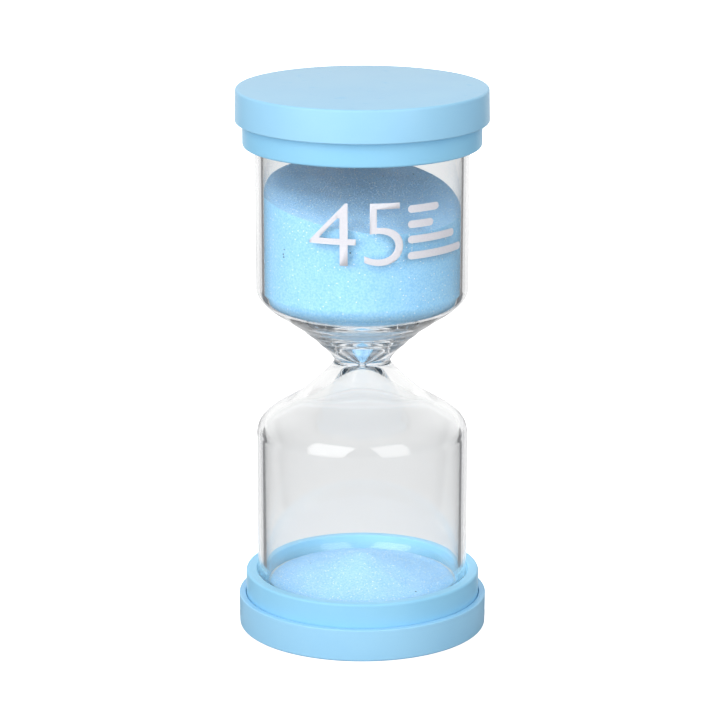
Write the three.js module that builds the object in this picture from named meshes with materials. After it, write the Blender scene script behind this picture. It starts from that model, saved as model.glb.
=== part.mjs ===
// A sand timer: a blown glass with two bulbs and a thick neck, a moulded cap at each end, and its sand.
// Millimetres, +Z up. The origin is the middle of the underside of the lower cap.
import * as THREE from "three";

// Driving dimensions.
const HEIGHT = 125;
const MIDDLE = HEIGHT / 2;
const CLEARANCE = 0.3;
const TURNS = 36; // flats round every turned piece

// The outer cover of a cap, a shallow cup. Heights are counted from its closed face.
const COVER = { radius: 28.4, draft: 0.15, height: 7.5, edge: 0.5, bore: 27.0, floor: 1.8 };
const SUPPORT_RIB = { inside: 10.5, outside: 12, top: 3.3 };
const SNAP = { height: 6.0, half: 0.4, reach: 0.45 };

// The collar, the inner cup of a cap, which holds the end of the glass.
const COLLAR = { radius: 26.75, bore: 24.3, foot: 2.1, floor: 3.6, seat: 5.2, rim: 13, edge: 0.4 };
const COLLAR_SKIRT = 24.7;

// The glass. The shoulder and neck heights are counted from the middle of the neck.
const GLASS_RADIUS = 24;
const GLASS_WALL = 1.8;
const GLASS_BORE = GLASS_RADIUS - GLASS_WALL;
const END = { outside: 7.2, inside: 8.9, outerCorner: 5.6, innerCorner: 4 };
const NECK_RADIUS = 6.4;
const ORIFICE = { radius: 0.6, half: 0.9 };
const SHOULDER = 17.05; // height at which the straight wall starts
const CONE = { radius: 16, height: 11 }; // where the inner cone meets the inner shoulder
const FLARE = { radius: 13.1, height: 7, angle: 0.576 }; // where the neck's curve meets the shoulder's
const FILL_HOLE = 3;

// The sand. Each level slides, and the column under it changes length.
const SAND_GAP = 0.15;
const SAND_RADIUS = GLASS_BORE - SAND_GAP;
const UPPER_SAND = { funnelTop: 80, levelBottom: 95.7, middle: 100.9, tiltX: -0.114, tiltY: 0.17 };
const LOWER_SAND = { bedTop: 9.5, heapBottom: 10.1, ring: 10.5, apex: 17, coneFoot: 17, coneFootTop: 11.1 };
const LEVEL_GAP = 0.1;

const point = (radius, height) => new THREE.Vector2(radius, height);

// A quarter or less of a circle, from one angle to another in degrees, 0 being outwards and 90 upwards.
function arc(radius, height, size, from, to, steps) {
  const points = [];
  for (let i = 0; i <= steps; i++) {
    const angle = THREE.MathUtils.degToRad(from + ((to - from) * i) / steps);
    points.push(point(radius + size * Math.cos(angle), height + size * Math.sin(angle)));
  }
  return points;
}

const curve = (a, b, c, d, steps) => new THREE.CubicBezierCurve(a, b, c, d).getPoints(steps);

// Turns a profile, listed anticlockwise with its radius and height, into a solid round Z.
function turned(profile) {
  return new THREE.LatheGeometry(profile, TURNS).rotateX(Math.PI / 2);
}

const closed = (profile) => [...profile, profile[0].clone()];

function piece(name, geometry, material) {
  const mesh = new THREE.Mesh(geometry, material);
  mesh.name = name;
  return mesh;
}

const plastic = (color) => new THREE.MeshStandardMaterial({ color, roughness: 0.35, metalness: 0 });
const coverMaterial = () => plastic(0xa3dff8);
const collarMaterial = () => plastic(0x9ad8f7);
const sandMaterial = () => new THREE.MeshStandardMaterial({ color: 0xaedcf7, roughness: 0.9, metalness: 0 });

const glassMaterial = new THREE.MeshStandardMaterial({
  color: 0xf4f8fa,
  roughness: 0.03,
  metalness: 0,
  transparent: true,
  opacity: 0.3,
});

const siliconeMaterial = () => new THREE.MeshStandardMaterial({ color: 0xe8e8e6, roughness: 0.7, metalness: 0 });
const glueMaterial = () => new THREE.MeshStandardMaterial({ color: 0xf2efe4, roughness: 0.4, metalness: 0 });

// The cover: a cup with a rounded outer edge, a ring of support under the collar and a snap bead in its bore.
function coverGeometry() {
  const { radius, draft, height, edge, bore, floor } = COVER;
  const face = radius - draft;
  const lip = 0.3;
  const bead = bore - SNAP.reach;
  return turned([
    point(0, 0),
    ...arc(face - edge, edge, edge, -90, 0, 3),
    ...arc(radius - lip, height - lip, lip, 0, 90, 2),
    point(bore + lip / 2, height),
    point(bore, height - lip / 2),
    point(bore, SNAP.height + SNAP.half),
    point(bead, SNAP.height),
    point(bore, SNAP.height - SNAP.half),
    point(bore, floor),
    point(SUPPORT_RIB.outside, floor),
    point(SUPPORT_RIB.outside, SUPPORT_RIB.top),
    point(SUPPORT_RIB.inside, SUPPORT_RIB.top),
    point(SUPPORT_RIB.inside, floor),
    point(0, floor),
  ]);
}

// The collar: a cup on a short skirt, grooved for the cover's bead.
function collarGeometry() {
  const { radius, bore, foot, floor, seat, rim, edge } = COLLAR;
  const groove = radius - SNAP.reach;
  const fillet = 0.7;
  return turned([
    point(0, floor),
    point(COLLAR_SKIRT, floor),
    point(COLLAR_SKIRT, foot),
    point(radius, foot),
    point(radius, SNAP.height - SNAP.half - 0.25),
    point(groove, SNAP.height - 0.2),
    point(groove, SNAP.height + 0.2),
    point(radius, SNAP.height + SNAP.half + 0.25),
    ...arc(radius - edge, rim - edge, edge, 0, 90, 3),
    point(bore + edge / 2, rim),
    point(bore, rim - edge / 2),
    ...arc(bore - fillet, seat + fillet, fillet, 0, -90, 2),
    point(0, seat),
  ]);
}

// The soft ring that the flat end of the glass stands on.
function gasketGeometry() {
  const inside = 8;
  const outside = 14;
  const low = COLLAR.seat + CLEARANCE;
  const high = END.outside - CLEARANCE;
  return turned(closed([point(inside, low), point(outside, low), point(outside, high), point(inside, high)]));
}

// The bead of glue in the corner between the collar and the rounded end of the glass.
function glueGeometry() {
  const outside = COLLAR.bore - CLEARANCE;
  const low = COLLAR.seat + CLEARANCE;
  const high = 9;
  const size = END.outerCorner + CLEARANCE;
  const cornerRadius = GLASS_RADIUS - END.outerCorner;
  const cornerHeight = END.outside + END.outerCorner;
  const start = -THREE.MathUtils.radToDeg(Math.asin((cornerHeight - high) / size));
  return turned(
    closed([
      point(17.6, low),
      point(outside - 0.5, low),
      point(outside, low + 0.5),
      point(outside, high),
      ...arc(cornerRadius, cornerHeight, size, start, -69, 3),
    ]),
  );
}

// One half of the outer wall, from the neck down to the flat end.
function outerHalf() {
  const { radius, height, angle } = FLARE;
  const along = (reach) => point(radius + reach * Math.cos(angle), height + reach * Math.sin(angle));
  const neck = curve(point(NECK_RADIUS, 0), point(NECK_RADIUS, 1), along(-5), point(radius, height), 7);
  const shoulder = curve(
    point(radius, height),
    along(5.7),
    point(GLASS_RADIUS, SHOULDER - 3.9),
    point(GLASS_RADIUS, SHOULDER),
    8,
  );
  return [...neck, ...shoulder.slice(1)];
}

// One half of the inner wall, from the orifice to the straight bore: a flat cone, then the shoulder.
function innerHalf() {
  const shoulder = curve(
    point(CONE.radius, CONE.height),
    point(CONE.radius + 3, CONE.height + 1.95),
    point(GLASS_BORE, SHOULDER - 2.9),
    point(GLASS_BORE, SHOULDER),
    6,
  );
  return [point(ORIFICE.radius, ORIFICE.half), ...shoulder];
}

const above = (half) => half.map((p) => point(p.x, MIDDLE + p.y));
const below = (half) => half.map((p) => point(p.x, MIDDLE - p.y)).reverse();
const flipped = (half) => half.map((p) => point(p.x, HEIGHT - p.y)).reverse();

// The rounded corner of an end, from the flat face to the wall.
function endCorner(radius, height, size, steps) {
  return arc(radius - size, height + size, size, -90, 0, steps);
}

// The glass in one piece, open only at the fill hole in its upper end.
function glassGeometry() {
  const outerEnd = endCorner(GLASS_RADIUS, END.outside, END.outerCorner, 6);
  const innerEnd = endCorner(GLASS_BORE, END.inside, END.innerCorner, 5);
  const outside = [...outerEnd, ...below(outerHalf()), ...above(outerHalf()).slice(1), ...flipped(outerEnd)];
  const inside = [...innerEnd, ...below(innerHalf()), ...above(innerHalf()), ...flipped(innerEnd)];
  return turned([
    point(0, END.outside),
    ...outside,
    point(FILL_HOLE, HEIGHT - END.outside),
    point(FILL_HOLE, HEIGHT - END.inside),
    ...inside.reverse(),
    point(0, END.inside),
  ]);
}

// The stopper in the fill hole, with a flat head outside the glass.
function plugGeometry() {
  const stem = FILL_HOLE - CLEARANCE;
  const head = { radius: 5, thickness: 1.2 };
  const stemEnd = HEIGHT - END.inside - 1;
  const headStart = HEIGHT - END.outside + CLEARANCE;
  return turned([
    point(0, stemEnd),
    point(stem - 0.4, stemEnd),
    point(stem, stemEnd + 0.4),
    point(stem, headStart),
    point(head.radius, headStart),
    point(head.radius, headStart + head.thickness),
    point(0, headStart + head.thickness),
  ]);
}

// The sand that stays in the funnel above the neck.
function funnelGeometry() {
  const wall = innerHalf().map((p) => point(p.x - SAND_GAP * 0.6, p.y + SAND_GAP));
  wall[0].x = ORIFICE.radius - SAND_GAP;
  wall[wall.length - 1].x = SAND_RADIUS;
  return turned([
    point(0, MIDDLE + wall[0].y),
    ...above(wall),
    point(SAND_RADIUS, UPPER_SAND.funnelTop),
    point(0, UPPER_SAND.funnelTop),
  ]);
}

function upperColumnGeometry() {
  const low = UPPER_SAND.funnelTop + LEVEL_GAP;
  const high = UPPER_SAND.levelBottom - LEVEL_GAP;
  return turned([point(0, low), point(SAND_RADIUS, low), point(SAND_RADIUS, high), point(0, high)]);
}

// The top layer of the upper sand, whose surface leans down to the front and to the right.
function upperLevelGeometry() {
  const { levelBottom, middle, tiltX, tiltY } = UPPER_SAND;
  const geometry = turned([
    point(0, levelBottom),
    point(SAND_RADIUS, levelBottom),
    point(SAND_RADIUS, middle),
    point(0, middle),
  ]);
  const place = geometry.getAttribute("position");
  for (let i = 0; i < place.count; i++) {
    if (place.getZ(i) > levelBottom + 1) {
      place.setZ(i, middle + tiltX * place.getX(i) + tiltY * place.getY(i));
    }
  }
  return geometry;
}

// The radius of the lower sand at a height within the rounded corner of the glass.
function bedRadius(height) {
  const size = END.innerCorner - SAND_GAP;
  const drop = END.inside + END.innerCorner - height;
  return GLASS_BORE - END.innerCorner + Math.sqrt(size * size - drop * drop);
}

function bedGeometry() {
  const low = END.inside + SAND_GAP;
  const middle = (low + LOWER_SAND.bedTop) / 2;
  return turned([
    point(0, low),
    point(GLASS_BORE - END.innerCorner, low),
    point(bedRadius(middle), middle),
    point(bedRadius(LOWER_SAND.bedTop), LOWER_SAND.bedTop),
    point(0, LOWER_SAND.bedTop),
  ]);
}

function lowerColumnGeometry() {
  const low = LOWER_SAND.bedTop + LEVEL_GAP;
  const high = LOWER_SAND.heapBottom - LEVEL_GAP;
  return turned([point(0, low), point(bedRadius(low), low), point(bedRadius(high), high), point(0, high)]);
}

// The heap: a cone with a blunt tip and a flatter skirt that reaches the glass.
function heapGeometry() {
  const { heapBottom, ring, apex, coneFoot, coneFootTop } = LOWER_SAND;
  return turned([
    point(0, heapBottom),
    point(bedRadius(heapBottom), heapBottom),
    point(bedRadius(ring), ring),
    point(coneFoot + 2, ring + 0.2),
    point(coneFoot, coneFootTop),
    point(1.2, apex - 0.3),
    point(0, apex),
  ]);
}

// One cap with what it holds the glass with, closed face down.
function endCap(side) {
  const cap = new THREE.Group();
  cap.add(piece(side + "_cover", coverGeometry(), coverMaterial()));
  cap.add(piece(side + "_collar", collarGeometry(), collarMaterial()));
  cap.add(piece(side + "_seat_gasket", gasketGeometry(), siliconeMaterial()));
  cap.add(piece(side + "_glue_bead", glueGeometry(), glueMaterial()));
  return cap;
}

const timer = new THREE.Group();
timer.name = "sand_timer";

timer.add(endCap("bottom"));
const topCap = endCap("top");
topCap.rotation.x = Math.PI;
topCap.position.z = HEIGHT;
timer.add(topCap);

timer.add(piece("glass_body", glassGeometry(), glassMaterial));
timer.add(piece("fill_plug", plugGeometry(), siliconeMaterial()));

timer.add(piece("upper_sand_funnel", funnelGeometry(), sandMaterial()));
timer.add(piece("upper_sand_column", upperColumnGeometry(), sandMaterial()));
timer.add(piece("upper_sand_level", upperLevelGeometry(), sandMaterial()));
timer.add(piece("lower_sand_bed", bedGeometry(), sandMaterial()));
timer.add(piece("lower_sand_column", lowerColumnGeometry(), sandMaterial()));
timer.add(piece("lower_sand_heap", heapGeometry(), sandMaterial()));

export default timer;
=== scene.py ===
# %% [markdown]
# # A sand timer, from its packed design to a finished model
#
# The real object is a blown glass with two bulbs and a thick neck. A round plastic cap closes each end,
# and fine dyed sand runs from the upper bulb into the lower one.
# The design already fixes every size and the way the sand moves. This script makes the surfaces that are
# seen. It starts by loading the design as a fixed frame, and every piece made here rides on its bodies.

# %% Load the frame
import math

import bmesh
import bpy
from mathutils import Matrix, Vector, noise


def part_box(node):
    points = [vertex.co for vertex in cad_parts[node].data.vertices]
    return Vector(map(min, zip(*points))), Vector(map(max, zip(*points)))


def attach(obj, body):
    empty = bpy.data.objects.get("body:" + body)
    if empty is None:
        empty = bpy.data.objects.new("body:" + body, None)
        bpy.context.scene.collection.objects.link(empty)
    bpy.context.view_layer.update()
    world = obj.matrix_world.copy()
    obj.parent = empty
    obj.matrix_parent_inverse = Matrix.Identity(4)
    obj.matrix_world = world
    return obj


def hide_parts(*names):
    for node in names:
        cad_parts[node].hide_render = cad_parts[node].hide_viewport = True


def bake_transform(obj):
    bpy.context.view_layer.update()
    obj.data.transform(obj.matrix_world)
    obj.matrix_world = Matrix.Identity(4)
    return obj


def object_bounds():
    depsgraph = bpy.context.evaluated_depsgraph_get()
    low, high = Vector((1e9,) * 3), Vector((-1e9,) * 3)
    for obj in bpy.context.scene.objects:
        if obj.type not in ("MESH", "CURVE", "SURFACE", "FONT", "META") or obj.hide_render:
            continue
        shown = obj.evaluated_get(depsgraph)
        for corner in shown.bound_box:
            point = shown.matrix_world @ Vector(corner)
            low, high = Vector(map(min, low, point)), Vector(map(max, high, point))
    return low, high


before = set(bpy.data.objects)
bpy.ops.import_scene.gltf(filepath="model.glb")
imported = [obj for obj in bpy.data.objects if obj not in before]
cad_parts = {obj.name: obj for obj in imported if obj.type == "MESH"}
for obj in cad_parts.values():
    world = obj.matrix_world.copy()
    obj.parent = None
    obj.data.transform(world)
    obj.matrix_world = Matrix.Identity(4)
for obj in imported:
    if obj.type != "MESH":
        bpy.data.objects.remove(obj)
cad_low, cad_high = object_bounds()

# %% [markdown]
# ## Sizes
#
# Blender works in metres here, so a size that a maker would give in millimetres is multiplied by MM.
# Outer sizes are read from the frame. Sizes inside a piece, which its box doesn't tell, are named here.

# %% Sizes that the frame gives
MM = 0.001
ROOT = "timer"
HEIGHT = cad_high.z
MIDDLE = HEIGHT / 2

COVER_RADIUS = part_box("bottom_cover")[1].x
COVER_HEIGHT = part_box("bottom_cover")[1].z
COLLAR_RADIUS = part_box("bottom_collar")[1].x
COLLAR_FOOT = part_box("bottom_collar")[0].z
COLLAR_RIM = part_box("bottom_collar")[1].z
GLASS_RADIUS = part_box("glass_body")[1].x
GLASS_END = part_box("glass_body")[0].z
SAND_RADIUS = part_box("upper_sand_level")[1].x
print(f"{HEIGHT / MM:.1f} mm tall, {2 * COVER_RADIUS / MM:.1f} mm wide")

# %% Sizes inside the pieces
COVER_BORE = 26.88 * MM
COVER_FLOOR = 1.8 * MM
COLLAR_BORE = 24.3 * MM
COLLAR_SEAT = 5.2 * MM
GLASS_WALL = 1.8 * MM
GLASS_BORE = GLASS_RADIUS - GLASS_WALL
GLASS_FLOOR = 8.9 * MM
OUTER_CORNER = 5.6 * MM
INNER_CORNER = 4 * MM
SHOULDER = 17.05 * MM  # from the middle of the neck to the straight wall
NECK_RADIUS = 6.4 * MM
ORIFICE_RADIUS = 0.6 * MM
ORIFICE_HALF = 0.9 * MM
FILL_HOLE = 3 * MM
SAND_GAP = GLASS_BORE - SAND_RADIUS
CONTACT_GAP = 0.3 * MM  # where glue and rubber touch what they hold

# %% [markdown]
# ## The camera
#
# The timer is seen from the front and a little above, from far away with a long lens, so its sides stay
# upright. The camera comes first, because everything after it is judged through it.

# %% Camera
CAMERA_DISTANCE = 0.7045
CAMERA_HEIGHT = 0.2517
CAMERA_PITCH = math.radians(15.05)
LENS_MM = 160.88
SENSOR_MM = 36
SHIFT = -0.0032

camera_data = bpy.data.cameras.new("camera")
camera_data.lens = LENS_MM
camera_data.sensor_width = SENSOR_MM
camera_data.shift_x = SHIFT
camera = bpy.data.objects.new("camera", camera_data)
camera.location = (0, -CAMERA_DISTANCE, CAMERA_HEIGHT)
camera.rotation_euler = (math.pi / 2 - CAMERA_PITCH, 0, 0)
bpy.context.scene.collection.objects.link(camera)
bpy.context.scene.camera = camera
print("camera", tuple(round(x, 4) for x in camera.location))

# %% [markdown]
# ## Turned shapes
#
# Nearly every piece is round about the same axis, so one pair of helpers makes them all.
# `rounded` takes the corners of a half section, each with the radius of its rounding, and rounds them off.
# `turn` sweeps an outline round the axis. An outline runs anticlockwise, so that its faces point outwards.
# A modifier could spin the outline too, but then the poles would need cleaning afterwards.

# %% Outline with rounded corners
def rounded(corners, steps=6):
    """Each corner is (radius, height) or (radius, height, rounding), in metres."""
    outline = []
    count = len(corners)
    for i, (r, z, *size) in enumerate(corners):
        here = Vector((r, z))
        if not size:
            outline.append(here)
            continue
        back = (Vector(corners[i - 1][:2]) - here).normalized()
        ahead = (Vector(corners[(i + 1) % count][:2]) - here).normalized()
        half = back.angle(ahead) / 2
        reach = size[0] / math.tan(half)
        centre = here + (back + ahead).normalized() * (size[0] / math.sin(half))
        start, end = here + back * reach - centre, here + ahead * reach - centre
        for k in range(steps + 1):
            t = k / steps
            outline.append(centre + (start * (1 - t) + end * t).normalized() * size[0])
    return outline


def bezier(a, b, c, d, steps):
    """Points on a curve from a to d, without the first."""
    points = []
    for k in range(1, steps + 1):
        t = k / steps
        s = 1 - t
        points.append(a * s**3 + b * (3 * s * s * t) + c * (3 * s * t * t) + d * t**3)
    return points


# %% Outline to solid
TURNS = 160
ON_AXIS = 1e-7  # a radius under this counts as zero


def mesh_object(name, vertices, faces, sharp=30):
    """A smooth-shaded mesh object with sharp edges where its faces meet at more than `sharp` degrees."""
    mesh = bpy.data.meshes.new(name)
    mesh.from_pydata(vertices, [], faces)
    mesh.shade_smooth()
    mesh.set_sharp_from_angle(angle=math.radians(sharp))
    piece = bpy.data.objects.new(name, mesh)
    bpy.context.scene.collection.objects.link(piece)
    return piece


def turned_faces(outline, turns=TURNS):
    """Vertices and faces of an outline swept round Z. A point on the axis becomes one vertex."""
    vertices, rings = [], []
    for r, z in outline:
        if r < ON_AXIS:
            rings.append([len(vertices)] * turns)
            vertices.append((0, 0, z))
            continue
        rings.append(list(range(len(vertices), len(vertices) + turns)))
        for k in range(turns):
            angle = 2 * math.pi * k / turns
            vertices.append((r * math.cos(angle), r * math.sin(angle), z))
    if outline[0][0] > ON_AXIS:
        rings.append(rings[0])
    faces = []
    for low, high in zip(rings, rings[1:]):
        for k in range(turns):
            n = (k + 1) % turns
            face = dict.fromkeys((low[k], low[n], high[n], high[k]))
            if len(face) > 2:
                faces.append(tuple(face))
    return vertices, faces


def turn(name, outline, turns=TURNS):
    return mesh_object(name, *turned_faces(outline, turns))


def upside_down(outline):
    """The same outline for the other end of the timer, still anticlockwise."""
    return [Vector((r, HEIGHT - z)) for r, z in reversed(outline)]


# %% [markdown]
# ## Node helpers
#
# A material is a small network of nodes. Writing each one out makes long scripts, so `place` adds a node
# with its values, each a plain value or the socket it comes from. `sums`, `remap` and `between` are the three
# nodes that turn up most: one step of arithmetic, one change of range, and one mix of two colours.

# %% Placing and joining nodes
def place(tree, kind, values=None, **settings):
    made = tree.nodes.new(kind)
    for name, value in settings.items():
        setattr(made, name, value)
    for name, value in (values or {}).items():
        if isinstance(value, bpy.types.NodeSocket):
            tree.links.new(value, made.inputs[name])
        else:
            made.inputs[name].default_value = value
    return made


def sums(tree, operation, *values):
    """One step of arithmetic, such as ADD or MULTIPLY."""
    return place(tree, "ShaderNodeMath", dict(enumerate(values)), operation=operation).outputs[0]


def remap(tree, value, before, after=(0.0, 1.0), kind="LINEAR"):
    """The value moved from the range `before` to the range `after`, and held within it."""
    ends = {"From Min": before[0], "From Max": before[1], "To Min": after[0], "To Max": after[1]}
    return place(tree, "ShaderNodeMapRange", {"Value": value, **ends}, interpolation_type=kind).outputs[0]


def between(tree, share, tint_a, tint_b):
    """tint_a where the share is 0 and tint_b where it is 1. Sockets 6 and 7 of a mix are its two colours."""
    mix = place(tree, "ShaderNodeMix", {"Factor": share, 6: tint_a, 7: tint_b}, data_type="RGBA")
    return mix.outputs[2]


def new_group(name, kind, inputs, outputs):
    """A node group with named sockets, its input node and its output node."""
    tree = bpy.data.node_groups.new(name, kind)
    for label, socket, value in inputs:
        made = tree.interface.new_socket(label, in_out="INPUT", socket_type=socket)
        if value is not None:
            made.default_value = value
    for label, socket in outputs:
        tree.interface.new_socket(label, in_out="OUTPUT", socket_type=socket)
    return tree, tree.nodes.new("NodeGroupInput"), tree.nodes.new("NodeGroupOutput")


def new_material(name):
    """A material with nothing but its Principled shader, linked to the output."""
    material = bpy.data.materials.new(name)
    material.use_nodes = True
    tree = material.node_tree
    shader = tree.nodes["Principled BSDF"]
    return material, tree, shader


# %% [markdown]
# ## Two effects that several finishes share
#
# Nothing real is one even colour. "Mottle" drifts between two tints over a few millimetres, as dyed
# plastic, ink and packed sand all do, and adds a finer speckle. "Skin" gives the small relief of a moulded
# surface: a soft waviness, a fine grain, and the faint scuffs that handling leaves.
# Both are node groups, so that each finish sets only its own values.

# %% The mottle group
def make_mottle():
    tree, given, result = new_group(
        "Mottle",
        "ShaderNodeTree",
        [
            ("Tint A", "NodeSocketColor", (0.5, 0.5, 0.5, 1)),
            ("Tint B", "NodeSocketColor", (0.6, 0.6, 0.6, 1)),
            ("Patch Scale", "NodeSocketFloat", 90.0),
            ("Speckle Scale", "NodeSocketFloat", 2500.0),
            ("Speckle", "NodeSocketFloat", 0.3),
        ],
        [("Color", "NodeSocketColor")],
    )
    where = place(tree, "ShaderNodeTexCoord").outputs["Object"]
    patch_scale = given.outputs["Patch Scale"]
    fine_scale = given.outputs["Speckle Scale"]
    patch = place(tree, "ShaderNodeTexNoise", {"Vector": where, "Scale": patch_scale, "Detail": 3.0})
    fine = place(tree, "ShaderNodeTexNoise", {"Vector": where, "Scale": fine_scale, "Detail": 1.0})
    mix = place(
        tree,
        "ShaderNodeMix",
        {"Factor": given.outputs["Speckle"], "A": patch.outputs["Fac"], "B": fine.outputs["Fac"]},
        data_type="FLOAT",
    )
    spread = remap(tree, mix.outputs["Result"], (0.35, 0.65))
    tint = between(tree, spread, given.outputs["Tint A"], given.outputs["Tint B"])
    tree.links.new(tint, result.inputs["Color"])
    return tree


MOTTLE = make_mottle()


# %% The skin group
def make_skin():
    tree, given, result = new_group(
        "Skin",
        "ShaderNodeTree",
        [
            ("Roughness", "NodeSocketFloat", 0.35),
            ("Variation", "NodeSocketFloat", 0.06),
            ("Wave Scale", "NodeSocketFloat", 120.0),
            ("Grain Scale", "NodeSocketFloat", 1600.0),
            ("Scuffs", "NodeSocketFloat", 0.15),
        ],
        [("Roughness", "NodeSocketFloat"), ("Height", "NodeSocketFloat")],
    )
    where = place(tree, "ShaderNodeTexCoord").outputs["Object"]
    wave_scale = given.outputs["Wave Scale"]
    grain_scale = given.outputs["Grain Scale"]
    wave = place(tree, "ShaderNodeTexNoise", {"Vector": where, "Scale": wave_scale, "Detail": 2.0})
    grain = place(tree, "ShaderNodeTexNoise", {"Vector": where, "Scale": grain_scale, "Detail": 2.0})
    flat = place(tree, "ShaderNodeMapping", {"Vector": where, "Scale": (1.0, 1.0, 14.0)}).outputs["Vector"]
    hair = place(tree, "ShaderNodeTexNoise", {"Vector": flat, "Scale": 320.0, "Detail": 4.0})
    scuff = remap(tree, hair.outputs["Fac"], (0.62, 0.72))
    scuffed = sums(tree, "MULTIPLY", scuff, given.outputs["Scuffs"])
    drift = sums(tree, "MULTIPLY", wave.outputs["Fac"], given.outputs["Variation"])
    base = sums(tree, "ADD", given.outputs["Roughness"], drift)
    rough = sums(tree, "ADD", base, scuffed)
    relief = sums(tree, "MULTIPLY_ADD", grain.outputs["Fac"], 0.3, wave.outputs["Fac"])
    tree.links.new(rough, result.inputs["Roughness"])
    tree.links.new(relief, result.inputs["Height"])
    return tree


SKIN = make_skin()
print("node groups:", MOTTLE.name, SKIN.name)


# %% [markdown]
# ## Moulded plastic
#
# The caps are injection-moulded in sky blue. The surface is semi-gloss: it reflects soft lights as broad
# sheens. The collar is a slightly deeper tint than the cover and a little less glossy. Silicone and glue
# have the same kind of skin, so one function makes all four finishes.

# %% Plastic, silicone and glue
SHEEN = 0.2


def skinned_material(name, tint_a, tint_b, roughness, relief=0.00001, speckle=0.2, scuffs=0.15, **skin):
    material, tree, shader = new_material(name)
    mottle = place(tree, "ShaderNodeGroup", node_tree=MOTTLE)
    mottle.inputs["Tint A"].default_value = (*tint_a, 1)
    mottle.inputs["Tint B"].default_value = (*tint_b, 1)
    mottle.inputs["Speckle"].default_value = speckle
    surface = place(tree, "ShaderNodeGroup", node_tree=SKIN)
    surface.inputs["Roughness"].default_value = roughness
    surface.inputs["Scuffs"].default_value = scuffs
    for label, value in skin.items():
        surface.inputs[label.replace("_", " ").title()].default_value = value
    height = surface.outputs["Height"]
    bump = place(tree, "ShaderNodeBump", {"Height": height, "Distance": relief, "Strength": 0.6})
    tree.links.new(mottle.outputs["Color"], shader.inputs["Base Color"])
    tree.links.new(surface.outputs["Roughness"], shader.inputs["Roughness"])
    tree.links.new(bump.outputs["Normal"], shader.inputs["Normal"])
    shader.inputs["Specular IOR Level"].default_value = SHEEN
    return material


cover_plastic = skinned_material("sky_blue_cover", (0.365, 0.71, 0.98), (0.385, 0.73, 0.985), 0.27)
collar_plastic = skinned_material("sky_blue_collar", (0.315, 0.69, 0.97), (0.335, 0.71, 0.975), 0.29)
white_silicone = skinned_material(
    "white_silicone", (0.74, 0.74, 0.72), (0.82, 0.82, 0.80), 0.55, scuffs=0.05
)
set_glue = skinned_material("set_glue", (0.70, 0.80, 0.86), (0.78, 0.86, 0.90), 0.25, wave_scale=300.0)
print("plastics:", cover_plastic.name, collar_plastic.name)

# %% [markdown]
# ## Sand
#
# Dyed quartz sand looks even from afar and lively up close. Each grain has its own tint, a few carry a
# painted glint (near-white colour standing in for a facet that catches the light), and now and then a grain
# is dark. A Voronoi texture gives one random value per cell, so the few cells with a high value can be
# marked. "Spots" does that as a node group, once for the painted glints and once for the dark grains. The top
# of the sand and the grains strewn on it get a lighter tint than the rest, painted light that lifts their
# shade; the grains that missed the dye are paler than both, so there are three tints.

# %% The spots group
def make_spots():
    """1 in a round spot in the few cells whose random value is over the threshold, and 0 elsewhere."""
    tree, given, result = new_group(
        "Spots",
        "ShaderNodeTree",
        [
            ("Scale", "NodeSocketFloat", 1000.0),
            ("Size", "NodeSocketFloat", 0.2),
            ("Threshold", "NodeSocketFloat", 0.9),
        ],
        [("Mask", "NodeSocketFloat")],
    )
    where = place(tree, "ShaderNodeTexCoord").outputs["Object"]
    cells = place(tree, "ShaderNodeTexVoronoi", {"Vector": where, "Scale": given.outputs["Scale"]})
    lot = place(tree, "ShaderNodeSeparateColor", {"Color": cells.outputs["Color"]})
    chosen = sums(tree, "GREATER_THAN", lot.outputs["Red"], given.outputs["Threshold"])
    core = sums(tree, "MULTIPLY", given.outputs["Size"], 0.6)
    near = remap(tree, cells.outputs["Distance"], (given.outputs["Size"], core))
    tree.links.new(sums(tree, "MULTIPLY", chosen, near), result.inputs["Mask"])
    return tree


SPOTS = make_spots()


# %% The grain relief group
def make_grain_relief():
    """The relief of packed grains: each cell of the texture is one grain, highest at its middle."""
    tree, given, result = new_group(
        "Grain relief",
        "ShaderNodeTree",
        [("Scale", "NodeSocketFloat", 2000.0)],
        [("Normal", "NodeSocketVector")],
    )
    where = place(tree, "ShaderNodeTexCoord").outputs["Object"]
    grains = place(tree, "ShaderNodeTexVoronoi", {"Vector": where, "Scale": given.outputs["Scale"]})
    drop = grains.outputs["Distance"]
    bump = place(
        tree, "ShaderNodeBump", {"Height": drop, "Distance": 0.12 * MM, "Strength": 0.5}, invert=True
    )
    tree.links.new(bump.outputs["Normal"], result.inputs["Normal"])
    return tree


GRAIN_RELIEF = make_grain_relief()

# %% Sand material
GRAIN_CELLS = 2300.0
# Painted glints: the few cells that get a near-white colour in place of a real highlight.
PAINTED_GLINTS = {"Scale": 1700.0, "Size": 0.26, "Threshold": 0.82}
DARK_GRAINS = {"Scale": 420.0, "Size": 0.12, "Threshold": 0.93}
PAINTED_GLINT_TINT = (0.93, 0.97, 1.0, 1)
DARK_TINT = (0.05, 0.13, 0.22, 1)


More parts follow.
